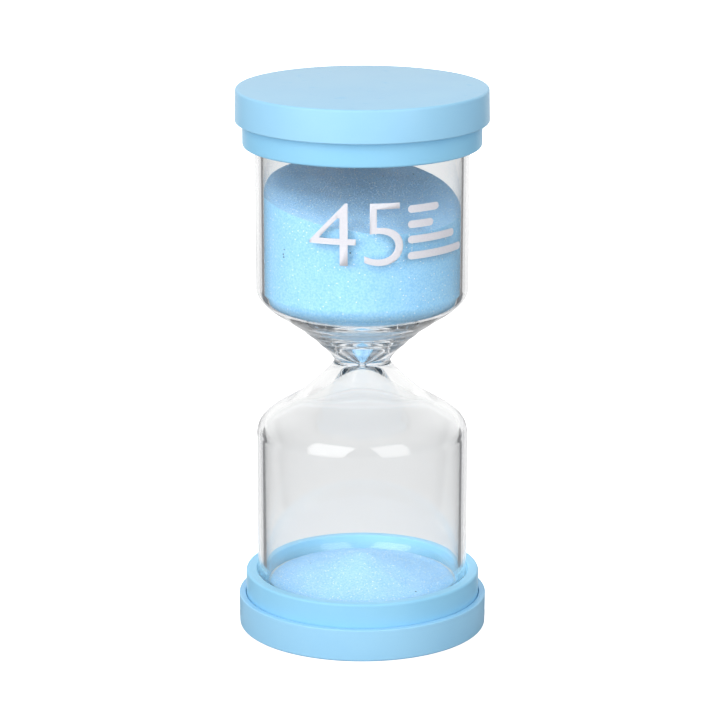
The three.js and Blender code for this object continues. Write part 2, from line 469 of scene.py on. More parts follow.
def sand_material(name, tint_a, tint_b):
    material, tree, shader = new_material(name)
    dye = {"Tint A": (*tint_a, 1), "Tint B": (*tint_b, 1)}
    scales = {"Patch Scale": 150.0, "Speckle Scale": GRAIN_CELLS, "Speckle": 0.75}
    mottle = place(tree, "ShaderNodeGroup", {**dye, **scales}, node_tree=MOTTLE)
    glint = place(tree, "ShaderNodeGroup", PAINTED_GLINTS, node_tree=SPOTS).outputs["Mask"]
    dark = place(tree, "ShaderNodeGroup", DARK_GRAINS, node_tree=SPOTS).outputs["Mask"]
    relief = place(tree, "ShaderNodeGroup", {"Scale": GRAIN_CELLS}, node_tree=GRAIN_RELIEF)
    # Painted glints: near-white colour in a few cells stands in for facets catching the light.
    bright = between(tree, glint, mottle.outputs["Color"], PAINTED_GLINT_TINT)
    tree.links.new(between(tree, dark, bright, DARK_TINT), shader.inputs["Base Color"])
    tree.links.new(remap(tree, glint, (0.0, 1.0), (0.85, 0.3)), shader.inputs["Roughness"])
    tree.links.new(relief.outputs["Normal"], shader.inputs["Normal"])
    return material


blue_sand = sand_material("blue_sand", (0.25, 0.58, 0.89), (0.37, 0.69, 0.94))
# Painted light: a lighter copy of the sand for its top surface and the grains on it, lifting the shade there.
lit_top_sand = sand_material("lit_top_sand", (0.30, 0.60, 0.93), (0.42, 0.70, 0.96))
pale_sand = sand_material("pale_sand", (0.66, 0.84, 0.94), (0.78, 0.90, 0.97))
print("sand:", blue_sand.name, lit_top_sand.name, pale_sand.name)

# %% [markdown]
# ## Glass
#
# The glass is clear, and it shows by what it bends and reflects. It needs an inner and an outer wall to do
# that. Light has to reach the sand through it. A shadow ray can't bend, so for shadow rays alone the glass
# is clear air. Blown glass is never quite even: a faint, tall waviness runs along the drawn tube.
# The rounded ends, deep in the collars, are duller, since the flame that closed them left them less smooth.

# %% Glass material
DULL_FROM = MIDDLE - 13 * MM  # distance from the middle of the neck
DULL_FADE = 1 * MM
DULL = 0.12


def glass_material():
    material, tree, shader = new_material("clear_glass")
    shader.inputs["Base Color"].default_value = (0.985, 0.992, 0.99, 1)
    shader.inputs["Transmission Weight"].default_value = 1.0
    shader.inputs["IOR"].default_value = 1.48
    where = place(tree, "ShaderNodeTexCoord").outputs["Object"]
    tall = place(tree, "ShaderNodeMapping", {"Vector": where, "Scale": (1.0, 1.0, 0.12)}).outputs["Vector"]
    drawn = place(tree, "ShaderNodeTexNoise", {"Vector": tall, "Scale": 110.0, "Detail": 1.0}).outputs["Fac"]
    bump = place(tree, "ShaderNodeBump", {"Height": drawn, "Distance": 0.08 * MM, "Strength": 0.35})
    haze = place(tree, "ShaderNodeTexNoise", {"Vector": where, "Scale": 60.0, "Detail": 4.0}).outputs["Fac"]
    faint = remap(tree, haze, (0.5, 0.8), (0.0, 0.02))
    parts = place(tree, "ShaderNodeSeparateXYZ", {"Vector": where})
    away = sums(tree, "ABSOLUTE", sums(tree, "SUBTRACT", parts.outputs["Z"], MIDDLE))
    dull = remap(tree, away, (DULL_FROM, DULL_FROM + DULL_FADE), (0.0, DULL))
    tree.links.new(bump.outputs["Normal"], shader.inputs["Normal"])
    tree.links.new(sums(tree, "ADD", faint, dull), shader.inputs["Roughness"])
    clear = place(tree, "ShaderNodeBsdfTransparent")
    path = place(tree, "ShaderNodeLightPath")
    mix = place(tree, "ShaderNodeMixShader", {"Fac": path.outputs["Is Shadow Ray"]})
    tree.links.new(shader.outputs[0], mix.inputs[1])
    tree.links.new(clear.outputs[0], mix.inputs[2])
    tree.links.new(mix.outputs[0], tree.nodes["Material Output"].inputs["Surface"])
    return material


clear_glass = glass_material()


# %% [markdown]
# ## White ink
#
# The marking is screen-printed on the outside of the glass. The film is thin and a little uneven.

# %% Ink material
white_ink = skinned_material(
    "white_ink", (0.79, 0.79, 0.85), (0.85, 0.85, 0.90), 0.45, speckle=0.5, scuffs=0.1, relief=0.000004
)


# %% [markdown]
# ## Dressing a piece
#
# Every finished piece gets its material in a slot of its own, is parented to the body that it rides on when
# it has one, and hides the CAD nodes that it stands for. One function does all three.

# %% Finishing a piece
def dress(piece, material, replaces=(), body=ROOT):
    piece.data.materials.clear()
    piece.data.materials.append(material)
    if replaces:
        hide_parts(*replaces)
    if body:
        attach(piece, body)
    print(f"{piece.name}: {len(piece.data.polygons)} faces on {body or 'two bodies'}")
    return piece


# %% [markdown]
# ## The covers
#
# A cover is a shallow cup. Its outer edge has a small rounding, its side leans out a little
# so that it leaves the mould, and a bead in its bore snaps into the collar. A round rib stiffens its floor.
# The upper one is the same moulding turned over.

# %% Covers
DRAFT = 0.15 * MM
SNAP_HEIGHT = 6.0 * MM
SNAP_HALF = 0.4 * MM
SNAP_REACH = 0.45 * MM
RIB_TOP = 3.3 * MM
RIB_OUTER = 12 * MM
RIB_INNER = 10.5 * MM

cover_outline = rounded(
    [
        (0, 0),
        (COVER_RADIUS - DRAFT, 0, 0.55 * MM),
        (COVER_RADIUS, COVER_HEIGHT, 0.3 * MM),
        (COVER_BORE, COVER_HEIGHT, 0.15 * MM),
        (COVER_BORE, SNAP_HEIGHT + SNAP_HALF),
        (COVER_BORE - SNAP_REACH, SNAP_HEIGHT, 0.15 * MM),
        (COVER_BORE, SNAP_HEIGHT - SNAP_HALF),
        (COVER_BORE, COVER_FLOOR, 0.4 * MM),
        (RIB_OUTER, COVER_FLOOR),
        (RIB_OUTER, RIB_TOP, 0.2 * MM),
        (RIB_INNER, RIB_TOP, 0.2 * MM),
        (RIB_INNER, COVER_FLOOR),
        (0, COVER_FLOOR),
    ]
)
for side, outline in (("bottom", cover_outline), ("top", upside_down(cover_outline))):
    dress(turn(side + "_cover_shell", outline), cover_plastic, [side + "_cover"])

# %% [markdown]
# ## The collars
#
# The collar is the cup that holds the glass. It stands out of the cover by a few millimetres,
# with a hair-thin seam between the two, and its rim is rounded.

# %% Collars
COLLAR_FLOOR = 3.6 * MM
SKIRT = 24.7 * MM
GROOVE_HALF = 0.2 * MM
GROOVE_EASE = 0.25 * MM  # how much wider the groove is than the bead, at its mouth

collar_outline = rounded(
    [
        (0, COLLAR_FLOOR),
        (SKIRT, COLLAR_FLOOR),
        (SKIRT, COLLAR_FOOT),
        (COLLAR_RADIUS, COLLAR_FOOT, 0.15 * MM),
        (COLLAR_RADIUS, SNAP_HEIGHT - SNAP_HALF - GROOVE_EASE),
        (COLLAR_RADIUS - SNAP_REACH, SNAP_HEIGHT - GROOVE_HALF),
        (COLLAR_RADIUS - SNAP_REACH, SNAP_HEIGHT + GROOVE_HALF),
        (COLLAR_RADIUS, SNAP_HEIGHT + SNAP_HALF + GROOVE_EASE),
        (COLLAR_RADIUS, COLLAR_RIM, 0.55 * MM),
        (COLLAR_BORE, COLLAR_RIM, 0.3 * MM),
        (COLLAR_BORE, COLLAR_SEAT, 0.7 * MM),
        (0, COLLAR_SEAT),
    ]
)
for side, outline in (("bottom", collar_outline), ("top", upside_down(collar_outline))):
    dress(turn(side + "_collar_ring", outline), collar_plastic, [side + "_collar"])

# %% Gate mark
GATE_ANGLE = math.radians(77)  # from the front towards the right
GATE_HEIGHT = 10.4 * MM
GATE_HALF = (0.35 * MM, 0.8 * MM)
GATE_RISE = 0.16 * MM
GATE_SINK = 0.03 * MM
GATE_DEPTH = 0.1 * MM


def gate_mark(name, z, points=20):
    """A low oval button on the side of the collar, where the plastic was let into the mould."""
    middle = Vector((math.sin(GATE_ANGLE), -math.cos(GATE_ANGLE), 0))
    aside = Vector((math.cos(GATE_ANGLE), math.sin(GATE_ANGLE), 0))
    foot = middle * (COLLAR_RADIUS - GATE_SINK) + Vector((0, 0, z))
    vertices = [foot + middle * (GATE_RISE + GATE_SINK), foot - middle * GATE_DEPTH]
    for k in range(points):
        t = 2 * math.pi * k / points
        up = Vector((0, 0, GATE_HALF[1] * math.sin(t)))
        vertices.append(foot + aside * GATE_HALF[0] * math.cos(t) + up)
    faces = []
    for k in range(points):
        here, following = 2 + k, 2 + (k + 1) % points
        faces += [(0, here, following), (1, following, here)]
    return mesh_object(name, vertices, faces, sharp=80)


# The button takes the slightly lighter cover plastic, a small painted highlight on the collar.
dress(gate_mark("gate_mark", GATE_HEIGHT), cover_plastic)

# %% [markdown]
# ## What holds the glass in the caps
#
# A soft ring lies under each end of the glass, and a bead of glue fills the corner beside it.
# The stopper closes the hole through which the sand was filled in.
# They hardly show, but the glass lets some of them be seen.

# %% Gaskets and glue
GASKET_INNER = 8 * MM
GASKET_OUTER = 14 * MM
GASKET_LOW = 5.5 * MM
GASKET_HIGH = GLASS_END - CONTACT_GAP
GASKET_EDGE = 0.3 * MM
GLUE_TOP = 9 * MM
GLUE_INNER = 17.6 * MM
GLUE_CHAMFER = 0.5 * MM
GLUE_END = math.radians(69)  # how far down the rounded end of the glass the glue reaches

gasket_outline = rounded(
    [
        (GASKET_INNER, GASKET_LOW, GASKET_EDGE),
        (GASKET_OUTER, GASKET_LOW, GASKET_EDGE),
        (GASKET_OUTER, GASKET_HIGH, GASKET_EDGE),
        (GASKET_INNER, GASKET_HIGH, GASKET_EDGE),
    ]
)


def glue_outline():
    """A fillet of glue: flat below and outside, and hollow where it fits the rounded end of the glass."""
    outer = COLLAR_BORE - CONTACT_GAP
    foot = COLLAR_SEAT + CONTACT_GAP
    size = OUTER_CORNER + CONTACT_GAP
    centre = Vector((GLASS_RADIUS - OUTER_CORNER, GLASS_END + OUTER_CORNER))
    start = math.asin((centre.y - GLUE_TOP) / size)
    points = [Vector((GLUE_INNER, foot)), Vector((outer - GLUE_CHAMFER, foot))]
    points += [Vector((outer, foot + GLUE_CHAMFER)), Vector((outer, GLUE_TOP))]
    for k in range(9):
        angle = start + (GLUE_END - start) * k / 8
        points.append(centre + Vector((math.cos(angle), -math.sin(angle))) * size)
    return points


for side, flip in (("bottom", list), ("top", upside_down)):
    gasket = turn(side + "_gasket", flip(gasket_outline))
    glue = turn(side + "_glue", flip(glue_outline()))
    dress(gasket, white_silicone, [side + "_seat_gasket"])
    dress(glue, set_glue, [side + "_glue_bead"])

# %% Stopper
HEAD_RADIUS = 5 * MM
HEAD_HEIGHT = 1.2 * MM

stem = FILL_HOLE - CONTACT_GAP
stem_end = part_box("fill_plug")[0].z
head_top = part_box("fill_plug")[1].z
head_start = head_top - HEAD_HEIGHT
plug_outline = rounded(
    [
        (0, stem_end),
        (stem, stem_end, 0.4 * MM),
        (stem, head_start),
        (HEAD_RADIUS, head_start, 0.2 * MM),
        (HEAD_RADIUS, head_top, 0.4 * MM),
        (0, head_top),
    ]
)
dress(turn("stopper", plug_outline, 64), white_silicone, ["fill_plug"])

# %% [markdown]
# ## The glass body
#
# One blown piece, made from a tube that was heated and drawn in at the middle. Outside, the shoulder runs
# into the thick neck in one curve. Inside, the wall is a flatter cone down to a fine orifice,
# so the glass gets thick there, and that thickness makes the bright, folded reflections at the waist.
# The two bulbs are drawn one after the other by hand, so their shoulders differ a little.
# Its half sections are Bezier curves, the way a glassblower's template would be drawn.

# %% Half sections of the glass, counted from the middle of the neck
FLARE = Vector((13.1 * MM, 7.0 * MM))
# Slope of the flare, and how far the curve keeps its direction beyond the neck and before the wall.
UPPER_FLARE = (math.radians(40), 5.7 * MM, 3.9 * MM)
LOWER_FLARE = (math.radians(42), 5.2 * MM, 5.0 * MM)
CONE_TOP = Vector((16 * MM, 11 * MM))
RIPPLE_LOW = 1 * MM
RIPPLE_HIGH = 11 * MM
RIPPLE_COUNT = 4
RIPPLE = 0.09 * MM


def outer_half(flare, ripple=0):
    """The outer half section. The tool leaves rings of height `ripple` where it draws the neck out."""
    slope, neck_reach, wall_reach = flare
    way = Vector((math.cos(slope), math.sin(slope)))
    neck = Vector((NECK_RADIUS, 0))
    wall = Vector((GLASS_RADIUS, SHOULDER))
    points = [neck]
    points += bezier(neck, neck + Vector((0, 1 * MM)), FLARE - way * 5 * MM, FLARE, 60)
    points += bezier(FLARE, FLARE + way * neck_reach, wall - Vector((0, wall_reach)), wall, 40)
    for p in points:
        share = (p.y - RIPPLE_LOW) / (RIPPLE_HIGH - RIPPLE_LOW)
        if 0 < share < 1:
            p.x += ripple * math.sin(math.pi * share) * math.sin(2 * math.pi * RIPPLE_COUNT * share)
    return points


def inner_half():
    wall = Vector((GLASS_BORE, SHOULDER))
    lip = Vector((ORIFICE_RADIUS, ORIFICE_HALF))
    way = (CONE_TOP - lip).normalized()
    throat = Vector((ORIFICE_RADIUS, 0))
    points = [throat]
    points += bezier(throat, throat + Vector((0, 0.7 * MM)), lip + way * 0.4 * MM, lip + way * 2 * MM, 8)
    points += [CONE_TOP]
    points += bezier(CONE_TOP, CONE_TOP + Vector((3, 1.95)) * MM, wall - Vector((0, 2.9 * MM)), wall, 22)
    return points


def above(half):
    return [Vector((r, MIDDLE + z)) for r, z in half]


def below(half):
    return [Vector((r, MIDDLE - z)) for r, z in reversed(half)]


def corner(radius, floor, size, steps):
    """The rounded corner between the flat end and the wall."""
    middle = Vector((radius - size, floor + size))
    points = []
    for k in range(steps + 1):
        angle = math.pi / 2 * (k / steps - 1)
        points.append(middle + Vector((math.cos(angle), math.sin(angle))) * size)
    return points


# %% Glass body
outer_end = corner(GLASS_RADIUS, GLASS_END, OUTER_CORNER, 16)
inner_end = corner(GLASS_BORE, GLASS_FLOOR, INNER_CORNER, 14)
lower_half = below(outer_half(LOWER_FLARE))
upper_half = above(outer_half(UPPER_FLARE, RIPPLE))
outside_wall = outer_end + lower_half + upper_half[1:] + upside_down(outer_end)
inside_wall = inner_end + below(inner_half()) + above(inner_half())[1:] + upside_down(inner_end)
glass_outline = [
    Vector((0, GLASS_END)),
    *outside_wall,
    Vector((FILL_HOLE, HEIGHT - GLASS_END)),
    Vector((FILL_HOLE, HEIGHT - GLASS_FLOOR)),
    *reversed(inside_wall),
    Vector((0, GLASS_FLOOR)),
]
dress(turn("glass", glass_outline, 192), clear_glass, ["glass_body"])

# %% [markdown]
# ## The sand in the upper bulb
#
# The sand fills the funnel and the straight part of the bulb. Its surface leans, because the timer was
# turned over at a slant, and it dips a little where the grains meet the glass.
# The walls are one strip from the funnel to the surface, with no rings in between, so that they can grow
# shorter cleanly when the level sinks. The surface is a fine disc with low ripples.

# %% A disc of sand
FUNNEL_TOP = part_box("upper_sand_column")[0].z
LEVEL_MIDDLE = 102.2 * MM
LEAN = Vector((-0.115, 0.165))  # rise to the right and rise to the back, as slopes


def ripples(x, y, size, height, seed):
    """Height of a smooth random surface with bumps `size` across."""
    return height * noise.noise(Vector((x / size, y / size, seed)))


def sand_top(rings, turns, radius, height_at):
    """Rings of vertices from the rim to the middle, each at the height that height_at(x, y) gives."""
    vertices = []
    for i in range(rings):
        r = radius * (1 - i / rings)
        for k in range(turns):
            angle = 2 * math.pi * k / turns
            x, y = r * math.cos(angle), r * math.sin(angle)
            vertices.append((x, y, height_at(x, y)))
    vertices.append((0, 0, height_at(0, 0)))
    return vertices


def top_faces(start, rings, turns):
    """Faces between the rings that sand_top makes, the first of which has the index `start`."""
    faces = []
    for i in range(rings):
        for k in range(turns):
            n = (k + 1) % turns
            here = start + i * turns
            if i < rings - 1:
                faces.append((here + k, here + n, here + turns + n, here + turns + k))
            else:
                faces.append((here + k, here + n, start + rings * turns))
    return faces


def sand_body(name, outline, rings, radius, height_at, turns=TURNS):
    """A body of sand: an outline turned from the axis up to the wall, closed by an uneven surface."""
    vertices, faces = turned_faces([*outline, (radius, outline[-1][1] + 1)], turns)
    start = len(vertices) - turns
    vertices = vertices[:start] + sand_top(rings, turns, radius, height_at)
    return mesh_object(name, vertices, faces + top_faces(start, rings, turns), sharp=50)


def paint_top_lighter(piece, rings, turns=TURNS):
    """Give the surface of a sand body, whose faces come last, the lighter tint: painted light that lifts its
    shade.
    """
    piece.data.materials.append(lit_top_sand)
    for face in piece.data.polygons[-rings * turns :]:
        face.material_index = 1


# %% Upper sand
UPPER_RINGS = 70
SLUMP = 1.6 * MM  # the grains stand a little lower where they meet the glass
SLUMP_WIDTH = 5.5 * MM
SLUMP_LOSS = 0.75  # how much less it is at the back right, where the grains slid against the wall


def upper_surface(x, y):
    r = math.hypot(x, y)
    lean = LEAN.x * x + LEAN.y * y
    less = SLUMP_LOSS * max(0.0, (x + y) / (SAND_RADIUS * math.sqrt(2)))
    slump = -SLUMP * (1 - less) * math.exp((r - SAND_RADIUS) / SLUMP_WIDTH)
    small = ripples(x, y, size=5 * MM, height=0.25 * MM, seed=1.3)
    small += ripples(x, y, size=0.9 * MM, height=0.03 * MM, seed=7.9)
    fade = min(1.0, (SAND_RADIUS - r) / SLUMP_WIDTH)
    return LEVEL_MIDDLE + lean + slump + fade * small


funnel_outline = [Vector((0, MIDDLE + SAND_GAP + ORIFICE_HALF * 0.9))]
for r, z in above(inner_half())[4:]:
    funnel_outline.append(Vector((max(r - 0.6 * SAND_GAP, 0.3 * MM), z + SAND_GAP)))
funnel_outline[-1].x = SAND_RADIUS
funnel_outline.append(Vector((SAND_RADIUS, FUNNEL_TOP)))
upper_sand = sand_body("upper_sand", funnel_outline, UPPER_RINGS, SAND_RADIUS, upper_surface)
dress(
    upper_sand,
    blue_sand,
    ["upper_sand_funnel", "upper_sand_column", "upper_sand_level"],
    body=None,
)
paint_top_lighter(upper_sand, UPPER_RINGS)
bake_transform(upper_sand)

# %% [markdown]
# ## The sand in the lower bulb
#
# It has only begun to gather. It fills the rounded bottom of the glass and stands in a low cone:
# dry sand doesn't hold a steeper slope. Grains that have rolled down lie in a flatter skirt round the foot.

# %% Lower sand
LOWER_RINGS = 64
BED_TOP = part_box("lower_sand_bed")[1].z
HEAP_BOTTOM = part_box("lower_sand_heap")[0].z
HEAP_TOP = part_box("lower_sand_heap")[1].z
RING_HEIGHT = 10.5 * MM
CONE_FOOT = 17 * MM
CONE_FOOT_TOP = 11.1 * MM
TIP_BLUNT = 1.3 * MM
TIP_DROP = 0.3 * MM
SKIRT_SLOPE = 0.3
JOIN_SOFT = 0.2 * MM
RIPPLE_FADE = 2 * MM
GRAIN_ROOM = 0.15 * MM  # kept free at the very top for single grains


def bed_radius(z):
    """Radius of the sand at a height within the rounded corner of the glass."""
    size = INNER_CORNER - SAND_GAP
    drop = GLASS_FLOOR + INNER_CORNER - z
    return GLASS_BORE - INNER_CORNER + math.sqrt(size * size - drop * drop)


RING_RADIUS = bed_radius(RING_HEIGHT)


def heap_surface(x, y):
    r = math.hypot(x, y)
    blunt = math.hypot(r, TIP_BLUNT) - TIP_DROP
    slope = (HEAP_TOP - CONE_FOOT_TOP) / CONE_FOOT
    cone = HEAP_TOP - slope * blunt
    from_wall = (RING_RADIUS - r) / (RING_RADIUS - CONE_FOOT)
    skirt = RING_HEIGHT + (CONE_FOOT_TOP - RING_HEIGHT) * SKIRT_SLOPE * from_wall
    join = (cone + skirt + math.sqrt((cone - skirt) ** 2 + JOIN_SOFT**2)) / 2
    fade = min(1.0, (RING_RADIUS - r) / RIPPLE_FADE)
    small = ripples(x, y, size=4 * MM, height=0.2 * MM, seed=3.1)
    small += ripples(x, y, size=0.9 * MM, height=0.03 * MM, seed=5.7)
    return min(join + fade * small, HEAP_TOP - GRAIN_ROOM)


BED_STEPS = 8
bed_floor = GLASS_FLOOR + SAND_GAP
bed_outline = [Vector((0, bed_floor)), Vector((GLASS_BORE - INNER_CORNER, bed_floor))]
for i in range(1, BED_STEPS + 1):
    z = bed_floor + (BED_TOP - bed_floor) * i / BED_STEPS
    bed_outline.append(Vector((bed_radius(z), z)))
bed_outline.append(Vector((bed_radius(HEAP_BOTTOM), HEAP_BOTTOM)))
lower_sand = sand_body("lower_sand", bed_outline, LOWER_RINGS, RING_RADIUS, heap_surface)
dress(
    lower_sand,
    blue_sand,
    ["lower_sand_bed", "lower_sand_column", "lower_sand_heap"],
    body=None,
)
paint_top_lighter(lower_sand, LOWER_RINGS)
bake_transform(lower_sand)

# %% [markdown]
# ## Loose grains
#
# A sand surface is never a smooth skin: single grains stand out of it, and a few of them missed the dye.
# Thousands of them are a job for Geometry Nodes. Points are strewn over the surface, each gets a small
# rough ball of random size and turn, and the result is turned into one plain mesh for each moving surface.

# %% The scatter tree
SEED_OFFSETS = {"Dyed": 72, "Pale": 84}  # so that the two kinds of grain don't lie in the same places
GRAIN_SIZES = (0.6, 1.3)
FULL_TURN = 6.28


def make_scatter():
    tree, given, result = new_group(
        "Scatter grains",
        "GeometryNodeTree",
        [
            ("Surface", "NodeSocketGeometry", None),
            ("Dyed Density", "NodeSocketFloat", 1e6),
            ("Pale Density", "NodeSocketFloat", 1e5),
            ("Grain Radius", "NodeSocketFloat", 0.0001),
            ("Seed", "NodeSocketInt", 1),
            ("Dyed Material", "NodeSocketMaterial", None),
            ("Pale Material", "NodeSocketMaterial", None),
        ],
        [("Grains", "NodeSocketGeometry")],
    )
    joined = place(tree, "GeometryNodeJoinGeometry")
    for kind, offset in SEED_OFFSETS.items():
        seed = place(tree, "FunctionNodeIntegerMath", {0: given.outputs["Seed"], 1: offset})
        points = place(
            tree,
            "GeometryNodeDistributePointsOnFaces",
            {
                "Mesh": given.outputs["Surface"],
                "Density": given.outputs[kind + " Density"],
                "Seed": seed.outputs[0],
            },
        )
        size = place(
            tree,
            "FunctionNodeRandomValue",
            {2: GRAIN_SIZES[0], 3: GRAIN_SIZES[1], "Seed": seed.outputs[0]},
            data_type="FLOAT",
        )
        turned = place(
            tree, "FunctionNodeRandomValue", {0: (0, 0, 0), 1: (FULL_TURN,) * 3}, data_type="FLOAT_VECTOR"
        )
        ball = place(
            tree, "GeometryNodeMeshIcoSphere", {"Radius": given.outputs["Grain Radius"], "Subdivisions": 1}
        )
        strewn = place(
            tree,
            "GeometryNodeInstanceOnPoints",
            {
                "Points": points.outputs["Points"],
                "Instance": ball.outputs["Mesh"],
                "Rotation": turned.outputs[0],
                "Scale": size.outputs[1],
            },
        )
        solid = place(tree, "GeometryNodeRealizeInstances", {"Geometry": strewn.outputs["Instances"]})
        painted = place(
            tree,
            "GeometryNodeSetMaterial",
            {"Geometry": solid.outputs["Geometry"], "Material": given.outputs[kind + " Material"]},
        )
        tree.links.new(painted.outputs["Geometry"], joined.inputs["Geometry"])
    tree.links.new(joined.outputs["Geometry"], result.inputs["Grains"])
    return tree


SCATTER = make_scatter()


# %% Grains on both surfaces
GRAIN_RADIUS = 0.11 * MM
DYED_DENSITY = 2.2e6  # in grains to the square metre, so 2.2 to the square millimetre
PALE_DENSITY = 3.0e5
EDGE_LEFT = 0.6 * MM  # left bare next to the glass
CARRIER_RINGS = 40
CARRIER_TURNS = 96
BALL_FACES = 20


def strew(name, radius, height_at, seed, body):
    """Grains on a sand surface, as one plain mesh that rides on `body`."""
    surface = sand_top(CARRIER_RINGS, CARRIER_TURNS, radius - EDGE_LEFT, height_at)
    carrier = mesh_object(name + "_surface", surface, top_faces(0, CARRIER_RINGS, CARRIER_TURNS))
    modifier = carrier.modifiers.new("grains", "NODES")
    modifier.node_group = SCATTER
    values = {
        "Dyed Density": DYED_DENSITY,
        "Pale Density": PALE_DENSITY,
        "Grain Radius": GRAIN_RADIUS,
        "Seed": seed,
        # the grains take the lighter sand tint, painted light like the top surface they lie on
        "Dyed Material": lit_top_sand,
        "Pale Material": pale_sand,
    }
    for label, value in values.items():
        modifier[SCATTER.interface.items_tree[label].identifier] = value
    bpy.context.view_layer.update()
    ready = carrier.evaluated_get(bpy.context.evaluated_depsgraph_get())
    grains = bpy.data.objects.new(name, bpy.data.meshes.new_from_object(ready))
    bpy.data.objects.remove(carrier)
    bpy.context.scene.collection.objects.link(grains)
    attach(grains, body)
    count = len(grains.data.polygons)
    print(f"{name}: {count // BALL_FACES} grains, {count} faces on {body}")


strew("upper_grains", SAND_RADIUS, upper_surface, 3, "upper_level")
strew("lower_grains", RING_RADIUS, heap_surface, 8, "lower_heap")

# %% [markdown]
# ## The printed marking
#
# The number of minutes is printed on the front of the upper bulb, beside a small block of plain bars.
# Text made flat has to follow the round glass. So it is cut into narrow upright strips first, given a
# film's thickness, and then each point's distance sideways becomes an angle round the axis.

# %% Flat shapes to a film on the glass
INK_LIFT = 0.01 * MM
INK_FILM = 0.03 * MM
STRIP = 0.6 * MM
SAME_POINT = 1e-6


def wrap_on_glass(name, flat_mesh):
    """flat_mesh lies in X and Y, in metres: X is the way round the glass from its front, Y the height."""
    work = bmesh.new()
    work.from_mesh(flat_mesh)
    bmesh.ops.remove_doubles(work, verts=work.verts, dist=SAME_POINT)
    bmesh.ops.recalc_face_normals(work, faces=work.faces)
    low = min(v.co.x for v in work.verts)
    high = max(v.co.x for v in work.verts)
    for i in range(1, int((high - low) / STRIP) + 1):
        everything = work.verts[:] + work.edges[:] + work.faces[:]
        cut = (low + i * STRIP, 0, 0)
        bmesh.ops.bisect_plane(work, geom=everything, plane_co=cut, plane_no=(1, 0, 0))
    if sum(f.normal.z * f.calc_area() for f in work.faces) < 0:
        bmesh.ops.reverse_faces(work, faces=work.faces)
    back = bmesh.ops.duplicate(work, geom=work.verts[:] + work.edges[:] + work.faces[:])
    back_faces = [g for g in back["geom"] if isinstance(g, bmesh.types.BMFace)]
    back_verts = {g for g in back["geom"] if isinstance(g, bmesh.types.BMVert)}
    twins = back["vert_map"]
    front_edges = [e for e in work.edges if len(e.link_faces) == 1 and e.verts[0] not in back_verts]
    bmesh.ops.reverse_faces(work, faces=back_faces)
    for v in back_verts:
        v.co.z = -INK_FILM
    for e in front_edges:
        face = e.link_faces[0]
        loop = next(side for side in face.loops if side.edge == e)
        a, b = loop.vert, loop.link_loop_next.vert
        work.faces.new((b, a, twins[a], twins[b]))
    for v in work.verts:
        radius = GLASS_RADIUS + INK_LIFT + INK_FILM + v.co.z
        angle = v.co.x / GLASS_RADIUS
        v.co = Vector((radius * math.sin(angle), -radius * math.cos(angle), v.co.y))
    mesh = bpy.data.meshes.new(name)
    work.to_mesh(mesh)
    work.free()
    piece = bpy.data.objects.new(name, mesh)
    bpy.context.scene.collection.objects.link(piece)
    return piece


# %% The number
DIGIT_HEIGHT = 13.9 * MM
DIGIT_FOOT = 89.8 * MM
DIGITS = (("4", -12.0 * MM, 10.6 * MM), ("5", 0.4 * MM, 8.7 * MM))  # each with its left side and width
THINNING = -0.012


def digit_mesh(text, left, width):
    """A digit from Blender's own font, thinned, and sized to its box on the glass."""
    curve = bpy.data.curves.new("digit", "FONT")
    curve.body = text
    curve.offset = THINNING
    curve.resolution_u = 8
    maker = bpy.data.objects.new("digit", curve)
    bpy.context.scene.collection.objects.link(maker)
    ready = maker.evaluated_get(bpy.context.evaluated_depsgraph_get())
    mesh = bpy.data.meshes.new_from_object(ready)
    bpy.data.objects.remove(maker)
    xs = [v.co.x for v in mesh.vertices]
    ys = [v.co.y for v in mesh.vertices]
    for v in mesh.vertices:
        v.co.x = left + (v.co.x - min(xs)) / (max(xs) - min(xs)) * width
        v.co.y = DIGIT_FOOT + (v.co.y - min(ys)) / (max(ys) - min(ys)) * DIGIT_HEIGHT
    return mesh


for text, left, width in DIGITS:
    dress(wrap_on_glass("printed_" + text, digit_mesh(text, left, width)), white_ink)

# %% The block of bars
LINE_LEFT = 10.2 * MM
LINE_HEIGHT = 1.7 * MM
LINE_END_STEPS = 8
LINES = (  # each with its height on the timer and its length
    (102.0 * MM, 8.2 * MM),
    (98.6 * MM, 6.6 * MM),
    (95.2 * MM, 13.5 * MM),
    (91.6 * MM, 16.5 * MM),
)


def line_mesh(middle, length):
    """A flat bar with round ends."""
    work = bmesh.new()
    half = LINE_HEIGHT / 2
    ring = []
    for side in (1, -1):
        for k in range(LINE_END_STEPS + 1):
            angle = side * math.pi / 2 - math.pi * k / LINE_END_STEPS
            x = (length - half if side > 0 else half) + half * math.cos(angle)
            ring.append(work.verts.new((LINE_LEFT + x, middle + half * math.sin(angle), 0)))
    work.faces.new(ring)
    mesh = bpy.data.meshes.new("line")
    work.to_mesh(mesh)
    work.free()
    return mesh


for number, (middle, length) in enumerate(LINES, 1):
    dress(wrap_on_glass(f"printed_line_{number}", line_mesh(middle, length)), white_ink)

# %% [markdown]
# ## Floor and light
#
# The timer stands on plain white. Clear glass shows only where it bends the view to something darker.
# A straight glass wall bends it by at most 37 degrees, and only in a thin line at the bore. So the floor and
# the room are bright behind the timer and dark to both sides, which draws that line, as two black cards in a
# studio do. The dark parts would spoil a plain backdrop, so to a ray that comes straight from the camera the
# floor and the room are white. Only the light and the views through or off a surface meet the dark parts.
# Two tall soft boxes stand left and right in front, well above the timer. They show on the shoulders of the
# glass, and under them the upper cap throws a soft shade on the sand.

